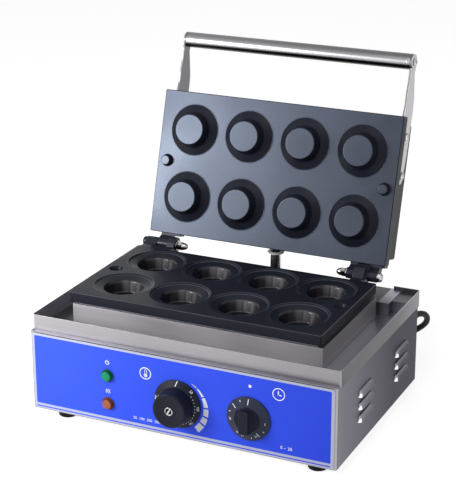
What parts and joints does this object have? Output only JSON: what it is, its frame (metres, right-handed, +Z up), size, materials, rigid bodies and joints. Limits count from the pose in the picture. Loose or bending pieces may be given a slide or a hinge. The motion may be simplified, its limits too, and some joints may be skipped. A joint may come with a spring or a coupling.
{
  "type": "tartlet maker",
  "caption": "Countertop electric tartlet maker: a hinged pair of cup and boss plates on a stainless case with drip tray, temperature and timer knobs, lamps, handle and mains cord.",
  "frame": {"origin": "on the resting surface, midway across and midway in depth between the temperature knob's face and the rearmost point of the open lid, without the cord", "axes": "+X to the right seen from the front, +Y from the front panel to the back, +Z up"},
  "size_m": [0.41, 0.4304, 0.4183],
  "materials": {
    "stainless_steel": "brushed",
    "polished_steel": "polished",
    "blue_film": "satin printed film",
    "coated_aluminium": "dark non-stick coating, satin",
    "black_plastic": "satin",
    "black_rubber": "matt",
    "green_lens": "clear tinted",
    "orange_lens": "clear tinted",
    "element_sheath": "oxidised",
    "mineral_wool": "fibrous",
    "white_ceramic": "glazed",
    "grey_plastic": "moulded"
  },
  "bodies": {
    "root": {"back_panel": "stainless_steel", "bottom_plate": "stainless_steel", "conduit_lead": "black_plastic", "conduit_sleeve": "polished_steel", "cord_coil": "black_rubber", "cord_free": "black_rubber", "cord_gland": "black_rubber", "drip_tray": "stainless_steel", "foot_front_left": "black_rubber", "foot_front_right": "black_rubber", "foot_rear_left": "black_rubber", "foot_rear_right": "black_rubber", "front_film": "blue_film", "front_panel": "stainless_steel", "heat_lamp_bezel": "black_plastic", "heat_lamp_lens": "orange_lens", "heat_shield": "stainless_steel", "heater_box": "stainless_steel", "hinge_bolt_left": "polished_steel", "hinge_bolt_right": "polished_steel", "hinge_nut_left": "polished_steel", "hinge_nut_right": "polished_steel", "hinge_washer_left": "polished_steel", "hinge_washer_right": "polished_steel", "inner_frame": "stainless_steel", "lower_element": "element_sheath", "lower_insulation": "mineral_wool", "lower_plate": "coated_aluminium", "plug": "black_plastic", "power_lamp_bezel": "black_plastic", "power_lamp_lens": "green_lens", "rear_deck": "stainless_steel", "side_panel_left": "stainless_steel", "side_panel_right": "stainless_steel", "terminal_block": "white_ceramic", "thermostat_body": "grey_plastic", "thermostat_bulb": "polished_steel", "timer_body": "grey_plastic"},
    "lid": {"conduit_gland": "polished_steel", "handle_screw_left": "polished_steel", "handle_screw_right": "polished_steel", "handle_strap_left": "stainless_steel", "handle_strap_right": "stainless_steel", "handle_tube": "polished_steel", "lid_cover": "stainless_steel", "lid_plate": "coated_aluminium", "strap_front_screw_left": "polished_steel", "strap_front_screw_right": "polished_steel", "strap_rear_screw_left": "polished_steel", "strap_rear_screw_right": "polished_steel", "upper_clamp_plate": "stainless_steel", "upper_element": "element_sheath", "upper_insulation": "mineral_wool"},
    "temperature_knob": {"temperature_knob": "black_plastic", "temperature_knob_cap": "polished_steel", "thermostat_shaft": "polished_steel"},
    "timer_knob": {"timer_knob": "black_plastic", "timer_shaft": "polished_steel"}
  },
  "joints": [
    {"name": "lid_hinge", "type": "hinge", "parent": "root", "child": "lid", "pos_m": [0, 0.07051, 0.16019], "axis": [1, 0, 0], "range_deg": [0, 106.7], "deforming": ["conduit_lead"]},
    {"name": "temperature_turn", "type": "hinge", "parent": "root", "child": "temperature_knob", "pos_m": [0, -0.16861, 0.0595], "axis": [0, 1, 0], "range_deg": [0, 300]},
    {"name": "timer_turn", "type": "hinge", "parent": "root", "child": "timer_knob", "pos_m": [0.0914, -0.16861, 0.0593], "axis": [0, 1, 0], "range_deg": [0, 300]}
  ]
}
